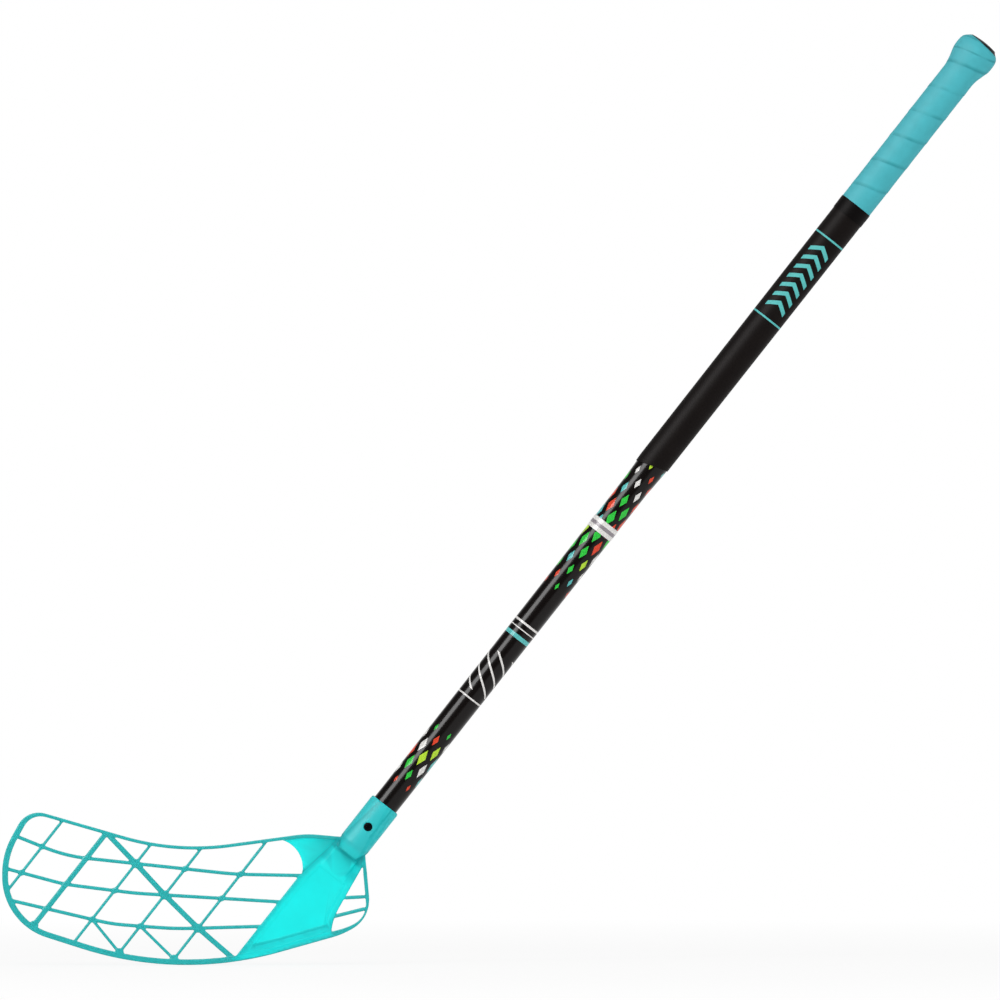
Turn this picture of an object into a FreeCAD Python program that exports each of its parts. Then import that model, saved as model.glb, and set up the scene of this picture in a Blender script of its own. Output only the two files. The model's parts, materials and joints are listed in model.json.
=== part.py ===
import FreeCAD, Part
import math
import os

# Floorball stick in its playing pose, in millimetres and degrees.
# The blade stands in the XZ plane with its toe towards -X, the shaft rises towards +X,
# and the side with the blade screw looks towards -Y. The origin is the middle of the grip.
# Blade places (x, z) and shaft stations are measured from the lower end of the neck,
# on the axis of the shaft.

# Shaft tube: even in the socket, a slight taper, a short cone, then a slight taper to the top
LIE_ANGLE = 51.85
TIP_RADIUS = 9.85
MIDDLE_RADIUS = 10.35
CONE_RADIUS = 11.35
TOP_RADIUS = 12.1
TUBE_WALL = 1.6
LOWER_LENGTH = 297.5
CONE_LENGTH = 22.0
UPPER_LENGTH = 365.5

# Neck and socket of the blade
NECK_LENGTH = 46.0
NECK_RADIUS = 11.85
NECK_FOOT_RADIUS = 8.4
NECK_FOOT_LENGTH = 9.0
NECK_LIP = 0.7
SOCKET_FLOOR = 8.0
SOCKET_FIT = 0.08

# Blade screw and the plug that it bites into
SCREW_STATION = 25.4
SCREW_HEAD_RADIUS = 3.0
SCREW_HEAD_HEIGHT = 1.7
SCREW_HEAD_ROUND = 0.6
SCREW_SHANK_RADIUS = 1.6
SCREW_LENGTH = 9.0
SCREW_POINT = 2.4
SCREW_SEAT = 0.15
SCREW_CLEARANCE = 0.2
DRIVE_SLOT = 0.9
DRIVE_SPAN = 3.4
DRIVE_DEPTH = 0.9
PLUG_LENGTH = 30.0
PLUG_INSET = 2.0

# Sleeve, label band and finish tape; whatever is wrapped on the shaft has this much room.
# The sleeve is cut at a slant, which is lowest on the side of the toe
WRAP_FIT = 0.05
SLEEVE_WALL = 0.5
SLEEVE_ON_CONE = 2.9
SLEEVE_SLANT = 18.0
BAND_STATION = 304.6
BAND_WIDTH = 9.4
BAND_WALL = 0.25
FINISH_WALL = 0.2
FINISH_ON_GRIP = 5.0
FINISH_ON_SLEEVE = 5.0

# Grip tape, wound as a right-handed helix that ends at the butt at an angle from +X;
# the seam is cut in steps, each a part of a turn that laps over the next
GRIP_LENGTH = 130.0
GRIP_JOINT = 0.6
TAPE_THICKNESS = 0.55
TAPE_PITCH = 22.8
TAPE_SEAM = 0.6
TAPE_END = -113.8
TAPE_ROUND = 14.0
SEAM_STEP = 0.45
SEAM_OVERLAP = 0.01

# Butt cap: a flared knob on a stub that fits in the tube
KNOB_RADIUS = 15.75
KNOB_FLARE = 12.0
KNOB_SIDE = 9.5
KNOB_CROWN = 4.2
KNOB_ROUND = 6.0
KNOB_HOLLOW = 6.0
BUTT_RADIUS = 10.8
BUTT_RISE = 1.0
BUTT_EDGE = 0.6
STUB_LENGTH = 30.0

# Blade outline: corners and roundings, anticlockwise from a corner inside the neck;
# ribs, panel and web bite into the rim by a share of its width
NECK_CORNER = (12.5, 11.0)
CREST = (-29.7, 14.8)
SADDLE = (-125.5, 1.9)
TOE_TOP = (-234.5, 33.6)
TOE_FRONT = (-252.6, 0.9)
TOE_BOTTOM = (-253.6, -50.5)
ROCKER = (-122.4, -92.85)
HEEL_TURN = (-3.5, -59.4)
HEEL = (17.7, -47.4)
CREST_ROUND = 70.0
SADDLE_ROUND = 188.0
TOE_TOP_ROUND = 17.0
TOE_FRONT_ROUND = 55.0
TOE_BOTTOM_ROUND = 47.0
ROCKER_ROUND = 252.0
HEEL_TURN_ROUND = 60.0
HEEL_ROUND = 24.0
TOP_RIM = 2.4
TOE_RIM = 4.3
BOTTOM_RIM = 4.1
HEEL_RIM = 2.5
RIM_BITE = 0.6

# Hook of the blade: flat at the heel, then one wide arc towards -Y
HOOK_START = -40.0
HOOK_RADIUS = 1800.0

# Depth of each kind of blade member, front to back
RIM_DEPTH = 6.0
THICK_RIB_DEPTH = 5.2
PANEL_DEPTH = 4.6
RIB_DEPTH = 4.2
WEB_DEPTH = 3.4

# Ribs: three run along the blade from toe to panel, five run parallel to the shaft in
# two wide bays and three narrow ones, and the heel has two of its own
RIB_WIDTH = 1.9
LONG_RIB_WIDTH = 2.3
THICK_RIB_WIDTH = 3.6
KNOT_RADIUS = 2.1
THICK_KNOT_RADIUS = 3.2
LONG_RIBS = (
    ((-258.4, 19.6), (-206.4, -1.5), (-82.4, -15.0), (-32.4, -16.0)),
    ((-258.4, -8.3), (-207.4, -22.2), (-155.4, -28.9), (-48.4, -35.4)),
    ((-258.4, -31.1), (-172.4, -51.5), (-125.4, -55.1), (-61.4, -53.3)),
)
LONG_RIB_ROUNDS = (120.0, 250.0)
BRACE_ROUND = 300.0
WIDE_BAY = 43.85
NARROW_BAY = 39.3
HEEL_RIBS = (((-5.0, -32.5), (24.0, -31.0)), ((-12.0, -46.7), (24.0, -37.7)))

# Solid panel under the neck, the web beside it and the ramp up to the neck
PANEL_OFFSET = -22.4
PANEL_BEND = -16.8
PANEL_TOP = (-5.2, 11.9)
PANEL_HEEL = ((20.3, 6.0), (-10.2, -47.5), (-14.2, -80.0))
PANEL_HEEL_ROUND = 40.0
PANEL_BORDER = 5.0
FIELD_RECESS = 0.6
FIELD_MARGIN = 5.5
RAMP_LENGTH = 19.0
RAMP_WIDTH = 19.0
RAMP_DEPTH = 9.0
WEB_HOLE = (-53.6, -10.2)
WEB_HOLE_RADIUS = 21.2

V = FreeCAD.Vector
UP = V(0, 0, 1)
ORIGIN = V(0, 0, 0)
AXIS = V(math.cos(math.radians(LIE_ANGLE)), 0, math.sin(math.radians(LIE_ANGLE)))
SLOPE = AXIS.x / AXIS.z

# Stations along the shaft
CONE_BOTTOM = NECK_LENGTH + LOWER_LENGTH
CONE_TOP = CONE_BOTTOM + CONE_LENGTH
TUBE_TOP = CONE_TOP + UPPER_LENGTH
TUBE_BOTTOM = SOCKET_FLOOR + SOCKET_FIT
GRIP_BOTTOM = TUBE_TOP - GRIP_LENGTH
GRIP_MIDDLE = TUBE_TOP - GRIP_LENGTH / 2
SLEEVE_TOP = GRIP_BOTTOM - GRIP_JOINT
KNOB_TOP = TUBE_TOP + KNOB_FLARE + KNOB_SIDE
BUTT_TOP = KNOB_TOP + KNOB_CROWN + BUTT_RISE


def flat(point):
    """Point of a flat outline: its two places are X and Z."""
    return V(point[0], 0, point[1])


def heading(start, end):
    length = math.dist(start, end)
    return ((end[0] - start[0]) / length, (end[1] - start[1]) / length)


def turn(before, after):
    """Signed angle from one heading to the next, positive to the left."""
    cross = before[0] * after[1] - before[1] * after[0]
    dot = before[0] * after[0] + before[1] * after[1]
    return math.atan2(cross, dot)


def rounded(points, radii, closed=False):
    """Edges along straight runs with an arc at each corner; radius 0 keeps a sharp corner.

    An open path takes one radius for each corner between its ends. Where two arcs need
    more than the run between them, both are limited to what the run gives."""
    count = len(points)
    runs = [heading(points[i], points[(i + 1) % count]) for i in range(count)]
    corners = list(range(count)) if closed else list(range(1, count - 1))
    tangents = [0.0] * count
    for index, radius in zip(corners, radii):
        tangents[index] = radius * math.tan(abs(turn(runs[index - 1], runs[index])) / 2)
    shares = []
    for i in range(count):
        need = tangents[i] + tangents[(i + 1) % count]
        room = 0.999 * math.dist(points[i], points[(i + 1) % count])
        shares.append(min(1.0, room / need) if need else 1.0)
    edges = []
    stops = []
    for i in range(count):
        arm = tangents[i] * min(shares[i - 1], shares[i])
        corner = flat(points[i])
        if arm == 0.0:
            stops.append((corner, None, corner))
            continue
        inward = flat(runs[i - 1])
        outward = flat(runs[i])
        half = abs(turn(runs[i - 1], runs[i])) / 2
        bisector = (outward - inward).normalize()
        sagitta = arm / math.tan(half) * (1 / math.cos(half) - 1)
        stops.append((corner - inward * arm, corner + bisector * sagitta, corner + outward * arm))
    for i in range(count):
        arrive, middle, leave = stops[i]
        if middle:
            edges.append(Part.Arc(arrive, middle, leave).toShape())
        if closed or i < count - 1:
            edges.append(Part.makeLine(leave, stops[(i + 1) % count][0]))
    return edges


def shifted(points, radii, distances, closed=False):
    """The same path with each run moved to its left by its own distance."""
    count = len(points)
    spans = count if closed else count - 1
    lines = []
    for i in range(spans):
        run = heading(points[i], points[(i + 1) % count])
        start = (points[i][0] - run[1] * distances[i], points[i][1] + run[0] * distances[i])
        lines.append((start, run))
    moved = []
    for i in range(count):
        if not closed and i == 0:
            moved.append(lines[0][0])
            continue
        if not closed and i == count - 1:
            start, run = lines[-1]
            length = math.dist(points[-2], points[-1])
            moved.append((start[0] + run[0] * length, start[1] + run[1] * length))
            continue
        (a, u), (b, w) = lines[i - 1], lines[i]
        cross = u[0] * w[1] - u[1] * w[0]
        along = ((b[0] - a[0]) * w[1] - (b[1] - a[1]) * w[0]) / cross
        moved.append((a[0] + u[0] * along, a[1] + u[1] * along))
    corners = list(range(count)) if closed else list(range(1, count - 1))
    new_radii = []
    for index, radius in zip(corners, radii):
        side = math.copysign(1, turn(lines[index - 1][1], lines[index][1]))
        step = (distances[index - 1] + distances[index]) / 2
        new_radii.append(max(radius - side * step, 0.0) if radius else 0.0)
    return moved, new_radii


def outline(points, radii):
    return Part.Face(Part.Wire(rounded(points, radii, closed=True)))


def between(first, second):
    """Face between two open paths, each given as points and radii."""
    edges = rounded(*first)
    back = rounded(second[0][::-1], second[1][::-1])
    edges.append(Part.makeLine(flat(first[0][-1]), flat(second[0][-1])))
    edges.extend(back)
    edges.append(Part.makeLine(flat(second[0][0]), flat(first[0][0])))
    return Part.Face(Part.Wire(edges))


def strip(points, radii, width):
    """Face of even width along an open path."""
    spans = len(points) - 1
    left = shifted(points, radii, [width / 2] * spans)
    right = shifted(points, radii, [-width / 2] * spans)
    return between(left, right)


def coat(points, radii, gap, wall):
    """Face on the right of an open path, a gap away and one wall thick."""
    spans = len(points) - 1
    inner = shifted(points, radii, [-gap] * spans)
    outer = shifted(points, radii, [-gap - wall] * spans)
    return between(inner, outer)


def tilt(shape):
    """Turn a shape made round the Z axis so that Z becomes the axis of the shaft."""
    shape.rotate(ORIGIN, V(0, 1, 0), 90 - LIE_ANGLE)
    return shape


def turned(face):
    """Solid of a profile in radius and station, turned round the axis of the shaft."""
    return tilt(face.revolve(ORIGIN, UP, 360))


TUBE_PATH = (
    (TIP_RADIUS, TUBE_BOTTOM), (TIP_RADIUS, NECK_LENGTH), (MIDDLE_RADIUS, CONE_BOTTOM),
    (CONE_RADIUS, CONE_TOP), (TOP_RADIUS, TUBE_TOP),
)


def tube_radius(station):
    """Outer radius of the tube at a station."""
    for (low_radius, low), (high_radius, high) in zip(TUBE_PATH, TUBE_PATH[1:]):
        if station <= high:
            break
    return low_radius + (high_radius - low_radius) * (station - low) / (high - low)


def on_tube(low, high, lift=0.0):
    """Straight path along the side of the tube, lifted off it by a wall."""
    return ((tube_radius(low) + lift, low), (tube_radius(high) + lift, high))


def make_shaft_tube():
    bore = [(radius - TUBE_WALL, station) for radius, station in reversed(TUBE_PATH)]
    profile = list(TUBE_PATH) + bore
    tube = turned(outline(profile, [0.0] * len(profile)))
    return tube.cut(screw_hole(SCREW_SHANK_RADIUS + SCREW_CLEARANCE, TIP_RADIUS / 2))


def make_shaft_end_plug():
    radius = TIP_RADIUS - TUBE_WALL - WRAP_FIT
    bottom = TUBE_BOTTOM + PLUG_INSET
    top = bottom + PLUG_LENGTH
    plug = turned(outline(((0, bottom), (radius, bottom), (radius, top), (0, top)), [0.0] * 4))
    floor = TIP_RADIUS + SCREW_SEAT - SCREW_LENGTH - SCREW_CLEARANCE
    return plug.cut(screw_hole(SCREW_SHANK_RADIUS + SCREW_CLEARANCE, floor))


def make_shrink_sleeve():
    """Sleeve from the upper end of the cone to the grip, with a slanted lower end."""
    end = CONE_TOP - SLEEVE_ON_CONE
    reach = (CONE_RADIUS + 2 * SLEEVE_WALL) * math.tan(math.radians(SLEEVE_SLANT))
    path = (*on_tube(end - reach, CONE_TOP), on_tube(CONE_TOP, SLEEVE_TOP)[1])
    sleeve = coat(path, (0.0,), WRAP_FIT, SLEEVE_WALL).revolve(ORIGIN, UP, 360)
    size = 4 * CONE_RADIUS
    below = Part.makeBox(size, size, size, V(-size / 2, -size / 2, -size))
    below.rotate(ORIGIN, V(0, 1, 0), -SLEEVE_SLANT)
    below.translate(UP * end)
    return tilt(sleeve.cut(below))


def make_label_band():
    path = on_tube(BAND_STATION - BAND_WIDTH / 2, BAND_STATION + BAND_WIDTH / 2)
    return turned(coat(path, (), WRAP_FIT, BAND_WALL))


def make_finish_tape():
    """Band that steps from the sleeve on to the grip tape and holds its lower end."""
    sleeve_lift = WRAP_FIT + SLEEVE_WALL
    grip_lift = WRAP_FIT + TAPE_THICKNESS
    path = (
        *on_tube(SLEEVE_TOP - FINISH_ON_SLEEVE, SLEEVE_TOP, sleeve_lift),
        *on_tube(GRIP_BOTTOM, GRIP_BOTTOM + FINISH_ON_GRIP, grip_lift),
    )
    return turned(coat(path, (0.0, 0.0), WRAP_FIT, FINISH_WALL))


def knob_path():
    """Side of the knob in radius and station, from the end of the tube to the butt."""
    return (
        (TOP_RADIUS, TUBE_TOP), (KNOB_RADIUS, TUBE_TOP + KNOB_FLARE),
        (KNOB_RADIUS, KNOB_TOP), (BUTT_RADIUS, KNOB_TOP + KNOB_CROWN),
    )


def make_butt_cap():
    foot, flare, side, crown = knob_path()
    bottom = TUBE_TOP - STUB_LENGTH
    stub_radius = tube_radius(bottom) - TUBE_WALL - WRAP_FIT
    disc_radius = BUTT_RADIUS - WRAP_FIT
    seat = TUBE_TOP + WRAP_FIT
    corners = (
        ((KNOB_HOLLOW, bottom), 0.0), ((stub_radius, bottom), 0.0), ((stub_radius, seat), 0.0),
        ((foot[0], seat), 0.0), (flare, KNOB_ROUND), (side, KNOB_ROUND), (crown, 0.0),
        ((disc_radius, crown[1]), 0.0), ((disc_radius, BUTT_TOP), BUTT_EDGE),
        ((0, BUTT_TOP), 0.0), ((0, KNOB_TOP), 0.0), ((KNOB_HOLLOW, KNOB_TOP), 0.0),
    )
    return turned(outline([corner for corner, _ in corners], [radius for _, radius in corners]))


def seam_turn(station, turns):
    """Cutter for part of the seam between the turns of the tape, from a station upwards."""
    inside = BUTT_RADIUS - TAPE_THICKNESS
    outside = KNOB_RADIUS + 3 * TAPE_THICKNESS
    corners = ((inside, 0), (outside, 0), (outside, TAPE_SEAM), (inside, TAPE_SEAM))
    section = Part.Wire(rounded(corners, [0.0] * len(corners), closed=True))
    helix = Part.Wire(Part.makeHelix(TAPE_PITCH, TAPE_PITCH * turns, TOP_RADIUS))
    cutter = helix.makePipeShell([section], True, True)
    cutter.rotate(ORIGIN, UP, TAPE_END + 360 * (station - BUTT_TOP) / TAPE_PITCH)
    cutter.translate(UP * station)
    return cutter


def seam_gap():
    """Least gap from one turn of the tape to the next, on points along the seam's edges."""
    low = []
    for step in range(240):
        angle = math.radians(step / 4)
        side = V(math.cos(angle), math.sin(angle), 0) * TOP_RADIUS
        low.append(side + UP * (TAPE_PITCH * angle / math.tau))
    high = [point + UP * TAPE_SEAM for point in low]
    return min(first.distanceToPoint(second) for first in low for second in high)


def make_grip_tape():
    """One flat tape wound over the handle and the knob, with an open seam between its turns."""
    path = ((tube_radius(GRIP_BOTTOM), GRIP_BOTTOM), *knob_path())
    cover = coat(path, (TAPE_ROUND, KNOB_ROUND, KNOB_ROUND), WRAP_FIT, TAPE_THICKNESS)
    wound = cover.revolve(ORIGIN, UP, 360)
    station = BUTT_TOP
    while station > GRIP_BOTTOM - TAPE_PITCH:
        station -= TAPE_PITCH * SEAM_STEP
        wound = wound.cut(seam_turn(station, SEAM_STEP + SEAM_OVERLAP))
    print("grip_tape least gap", round(seam_gap(), 3))
    return tilt(wound)


def screw_hole(radius, floor):
    """Round hole across the shaft, from the front down to a distance from the axis."""
    hole = Part.makeCylinder(radius, NECK_RADIUS * 2 - floor, V(0, -floor, 0), V(0, -1, 0))
    hole.translate(AXIS * SCREW_STATION)
    return hole


def make_blade_screw():
    seat = TIP_RADIUS + SCREW_SEAT
    top = seat + SCREW_HEAD_HEIGHT
    tip = seat - SCREW_LENGTH
    corners = (
        ((0, tip), 0.0), ((SCREW_SHANK_RADIUS, tip + SCREW_POINT), 0.0),
        ((SCREW_SHANK_RADIUS, seat), 0.0), ((SCREW_HEAD_RADIUS, seat), 0.0),
        ((SCREW_HEAD_RADIUS, top), SCREW_HEAD_ROUND), ((0, top), 0.0),
    )
    profile = outline([corner for corner, _ in corners], [radius for _, radius in corners])
    screw = profile.revolve(ORIGIN, UP, 360)
    for across, along in ((DRIVE_SLOT, DRIVE_SPAN), (DRIVE_SPAN, DRIVE_SLOT)):
        corner = V(-across / 2, -along / 2, top - DRIVE_DEPTH)
        screw = screw.cut(Part.makeBox(across, along, DRIVE_DEPTH * 2, corner))
    screw.rotate(ORIGIN, V(1, 0, 0), 90)
    screw.rotate(ORIGIN, V(0, 1, 0), 90 - LIE_ANGLE)
    screw.translate(AXIS * SCREW_STATION)
    return screw


BLADE_CORNERS = (
    NECK_CORNER, CREST, SADDLE, TOE_TOP, TOE_FRONT, TOE_BOTTOM, ROCKER, HEEL_TURN, HEEL,
)
BLADE_ROUNDS = (
    0.0, CREST_ROUND, SADDLE_ROUND, TOE_TOP_ROUND, TOE_FRONT_ROUND, TOE_BOTTOM_ROUND,
    ROCKER_ROUND, HEEL_TURN_ROUND, HEEL_ROUND,
)
RIM_WIDTHS = (
    TOP_RIM, TOP_RIM, TOP_RIM, TOE_RIM, TOE_RIM, BOTTOM_RIM, BOTTOM_RIM, HEEL_RIM, HEEL_RIM,
)


def inset(share):
    """Blade outline moved inwards by a share of the rim's width, as points and radii."""
    return shifted(BLADE_CORNERS, BLADE_ROUNDS, [width * share for width in RIM_WIDTHS], closed=True)


def inside_rim():
    """Limit of everything inside the rim, reaching part of the way into it."""
    return prism(outline(*inset(RIM_BITE)))


def hook_depth():
    """How far the toe stands in front of the heel."""
    reach = HOOK_START - TOE_BOTTOM[0]
    return HOOK_RADIUS - math.sqrt(HOOK_RADIUS ** 2 - reach ** 2)


def slab(depth):
    """Upright slab along the blade's middle surface: flat at the heel, hooked to the toe."""
    heel_end = HEEL[0] + NECK_RADIUS * 2
    sweep = 1.1 * (HOOK_START - TOE_BOTTOM[0]) / HOOK_RADIUS
    sides = []
    for offset in (-depth / 2, depth / 2):
        radius = HOOK_RADIUS + offset
        bend = []
        for angle in (0, sweep / 2, sweep):
            x = HOOK_START - radius * math.sin(angle)
            bend.append(V(x, radius * math.cos(angle) - HOOK_RADIUS, ROCKER[1]))
        sides.append((V(heel_end, offset, ROCKER[1]), bend))
    (front_heel, front), (back_heel, back) = sides
    edges = (
        Part.makeLine(front_heel, front[0]), Part.Arc(*front).toShape(),
        Part.makeLine(front[2], back[2]), Part.Arc(*reversed(back)).toShape(),
        Part.makeLine(back[0], back_heel), Part.makeLine(back_heel, front_heel),
    )
    height = TOE_TOP[1] - ROCKER[1] + NECK_LENGTH
    return Part.Face(Part.Wire(edges)).extrude(UP * height)


def prism(face):
    """A flat outline carried right through the blade, front to back."""
    reach = hook_depth() + NECK_RADIUS * 2
    shape = face.extrude(V(0, 2 * reach, 0))
    shape.translate(V(0, -reach, 0))
    return shape


def members(faces, depth, limit=None):
    """Blade members of one depth: outlines joined, kept inside a limit, laid on the hook."""
    shape = prism(faces[0])
    if len(faces) > 1:
        shape = shape.fuse([prism(face) for face in faces[1:]])
    if limit:
        shape = shape.common(limit)
    return shape.common(slab(depth))


def slanted(offset):
    """Ends of a rib line parallel to the shaft that crosses the floor line at an offset."""
    high = TOE_TOP[1]
    low = ROCKER[1]
    return ((offset + high * SLOPE, high), (offset + low * SLOPE, low))


def rib_offsets():
    offsets = []
    place = PANEL_OFFSET
    for bay in (WIDE_BAY, WIDE_BAY, NARROW_BAY, NARROW_BAY, NARROW_BAY):
        place -= bay
        offsets.append(place)
    return offsets


def crossings(first, second):
    """Points where two wires cross, from the top down."""
    pairs = first.distToShape(second)[1]
    points = [(pair[0].x, pair[0].z) for pair in pairs]
    return sorted(points, key=lambda point: -point[1])


def disc(centre, radius):
    return Part.Face(Part.Wire(Part.makeCircle(radius, flat(centre), V(0, 1, 0))))


def panel_bend():
    """Corner of the panel's left edge, which follows the shaft below it."""
    return (PANEL_OFFSET + PANEL_BEND * SLOPE, PANEL_BEND)


def panel_outline(border):
    """Panel between its left edge and its bent heel edge, drawn in by a border."""
    left = (slanted(PANEL_OFFSET)[1], panel_bend(), PANEL_TOP)
    left_edge = shifted(left, (0.0,), [-border] * 2)
    right_edge = shifted(PANEL_HEEL[::-1], (PANEL_HEEL_ROUND,), [border] * 2)
    return between(left_edge, right_edge)


def make_ribs():
    """Lattice of the blade: thin ribs with knots, then the thick rib and the long brace."""
    rim_line = Part.Wire(rounded(*inset(0.5), closed=True))
    rim_edge = Part.Wire(rounded(*inset(1.0), closed=True))
    panel_line = Part.Wire(rounded(slanted(PANEL_OFFSET), ()))
    lines = [slanted(offset) for offset in rib_offsets()]
    across = [Part.Wire(rounded(line, ())) for line in lines]
    along = [Part.Wire(rounded(points, LONG_RIB_ROUNDS)) for points in LONG_RIBS]
    knots = [[crossings(first, second) for second in along] for first in across]
    tops = [crossings(line, rim_line)[0] for line in across]
    feet = [crossings(line, rim_edge)[-1] for line in across]
    brace_foot = crossings(panel_line, rim_line)[-1]
    brace = [tops[3], knots[2][0][0], knots[1][1][0], knots[0][2][0], brace_foot]
    short_braces = ((knots[2][2][0], feet[1]), (knots[1][2][0], feet[0]))
    thin = [strip(points, LONG_RIB_ROUNDS, LONG_RIB_WIDTH) for points in LONG_RIBS]
    thin += [strip(line, (), RIB_WIDTH) for line in lines]
    thin += [strip(ends, (), RIB_WIDTH) for ends in short_braces + HEEL_RIBS]
    thin += [disc(point, KNOT_RADIUS) for row in knots for crossing in row for point in crossing]
    thick = [strip(brace, (BRACE_ROUND,) * 3, THICK_RIB_WIDTH), strip(lines[3], (), THICK_RIB_WIDTH)]
    thick += [disc(point, THICK_KNOT_RADIUS) for point in brace[:-1] + [feet[0], feet[1], feet[3]]]
    limit = inside_rim()
    return members(thin, RIB_DEPTH, limit), members(thick, THICK_RIB_DEPTH, limit)


def make_field():
    """Shallow field on both faces of the panel: what is cut away in front and behind."""
    margins = [width + FIELD_MARGIN for width in RIM_WIDTHS]
    floor = prism(outline(*shifted(BLADE_CORNERS, BLADE_ROUNDS, margins, closed=True)))
    size = CREST[1] - ROCKER[1]
    below_ramp = Part.makeBox(size, size, size, V(-size / 2, -size / 2, -RAMP_LENGTH - size))
    field = prism(panel_outline(PANEL_BORDER)).common(floor).common(tilt(below_ramp))
    return field.cut(slab(PANEL_DEPTH - 2 * FIELD_RECESS))


def make_ramp():
    """Wedge from the foot of the neck down to the panel."""
    thick = RAMP_DEPTH / 2
    thin = PANEL_DEPTH / 2
    side = (
        V(0, -thick, 0), V(0, thick, 0), V(0, thin, -RAMP_LENGTH), V(0, -thin, -RAMP_LENGTH),
        V(0, -thick, 0),
    )
    ramp = Part.Face(Part.makePolygon(side)).extrude(V(RAMP_WIDTH, 0, 0))
    ramp.translate(V(-RAMP_WIDTH / 2, 0, 0))
    return tilt(ramp)


def make_panel():
    """Panel with its fields, and the web between the panel and the crest."""
    limit = inside_rim()
    panel = members([panel_outline(0.0)], PANEL_DEPTH, limit).cut(make_field())
    corners = ((WEB_HOLE[0], CREST[1]), (WEB_HOLE[0], PANEL_BEND), panel_bend(), PANEL_TOP)
    web = outline(corners, [0.0] * len(corners)).cut(disc(WEB_HOLE, WEB_HOLE_RADIUS))
    return panel, members([web], WEB_DEPTH, limit)


def make_neck():
    profile = (
        (0, 0), (NECK_FOOT_RADIUS, 0), (NECK_RADIUS, NECK_FOOT_LENGTH),
        (NECK_RADIUS, NECK_LENGTH), (0, NECK_LENGTH),
    )
    return turned(outline(profile, (0.0, 0.0, 0.0, NECK_LIP, 0.0)))


def make_blade():
    rim_face = outline(BLADE_CORNERS, BLADE_ROUNDS).cut(outline(*inset(1.0)))
    rim = members([rim_face], RIM_DEPTH)
    blade = rim.fuse([*make_ribs(), *make_panel(), make_ramp(), make_neck()])
    socket_radius = TIP_RADIUS + SOCKET_FIT
    socket = Part.makeCylinder(socket_radius, NECK_LENGTH, AXIS * SOCKET_FLOOR, AXIS)
    blade = blade.cut(socket)
    blade = blade.cut(screw_hole(SCREW_HEAD_RADIUS + SCREW_CLEARANCE, TIP_RADIUS / 2))
    return blade.removeSplitter()


PIECES = (
    ("blade", make_blade),
    ("shaft_tube", make_shaft_tube),
    ("shaft_end_plug", make_shaft_end_plug),
    ("shrink_sleeve", make_shrink_sleeve),
    ("label_band", make_label_band),
    ("finish_tape", make_finish_tape),
    ("grip_tape", make_grip_tape),
    ("butt_cap", make_butt_cap),
    ("blade_screw", make_blade_screw),
)

os.makedirs("parts", exist_ok=True)
for name, make in PIECES:
    piece = make()
    piece.translate(AXIS * -GRIP_MIDDLE)
    piece.exportStep("parts/" + name + ".step")
    print(name, piece.isValid(), len(piece.Solids), round(piece.Volume, 1))
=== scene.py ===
"""Looks of a floorball stick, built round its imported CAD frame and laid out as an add-on."""

import json
import math

import bmesh
import bpy
from bpy.props import FloatProperty, FloatVectorProperty, IntProperty, PointerProperty
from mathutils import Matrix, Vector


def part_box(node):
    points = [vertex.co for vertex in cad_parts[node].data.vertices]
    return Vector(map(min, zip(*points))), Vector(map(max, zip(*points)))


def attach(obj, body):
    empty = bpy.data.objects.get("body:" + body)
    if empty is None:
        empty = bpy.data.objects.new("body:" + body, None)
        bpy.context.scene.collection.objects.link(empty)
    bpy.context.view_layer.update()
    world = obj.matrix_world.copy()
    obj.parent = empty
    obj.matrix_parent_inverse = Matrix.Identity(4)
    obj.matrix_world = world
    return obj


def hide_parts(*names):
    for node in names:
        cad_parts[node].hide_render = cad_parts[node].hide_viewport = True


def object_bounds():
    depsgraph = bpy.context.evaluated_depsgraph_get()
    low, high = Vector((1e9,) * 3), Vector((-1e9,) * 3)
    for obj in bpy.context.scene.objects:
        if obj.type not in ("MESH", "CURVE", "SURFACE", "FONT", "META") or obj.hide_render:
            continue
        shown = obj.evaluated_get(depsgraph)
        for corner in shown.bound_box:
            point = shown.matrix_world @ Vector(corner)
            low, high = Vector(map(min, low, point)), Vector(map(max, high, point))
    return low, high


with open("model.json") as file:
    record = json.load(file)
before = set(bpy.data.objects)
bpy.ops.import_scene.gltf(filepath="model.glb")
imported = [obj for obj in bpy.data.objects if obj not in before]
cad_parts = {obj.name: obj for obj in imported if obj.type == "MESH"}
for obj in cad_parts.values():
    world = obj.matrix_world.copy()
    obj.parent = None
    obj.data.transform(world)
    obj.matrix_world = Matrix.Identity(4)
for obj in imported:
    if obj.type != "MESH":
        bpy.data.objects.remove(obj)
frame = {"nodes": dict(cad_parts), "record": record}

bl_info = {
    "name": "Floorball stick",
    "version": (1, 0, 0),
    "blender": (4, 5, 0),
    "location": "View3D > Sidebar > Stick",
    "description": "Builds the looks of a floorball stick round its packed frame",
    "category": "Object",
}

CAD_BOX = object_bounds()
MOUNTS = {mount["name"]: mount for mount in frame["record"]["mounts"]}
AXIS = Vector(MOUNTS["grip"]["axis"]).normalized()
ACROSS = Vector((AXIS.z, 0.0, -AXIS.x))
LEAN = math.atan2(AXIS.x, AXIS.z)
TO_SHAFT = Matrix.Rotation(LEAN, 4, "Y")
MERGE = 1e-6
STATION_STEP = 2e-4
SHARP = math.radians(35)

# The kinds of node that are used most
MATH = "ShaderNodeMath"
MAP_RANGE = "ShaderNodeMapRange"
NOISE = "ShaderNodeTexNoise"
SPLIT = "ShaderNodeSeparateXYZ"
ATTRIBUTE = "ShaderNodeAttribute"


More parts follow.
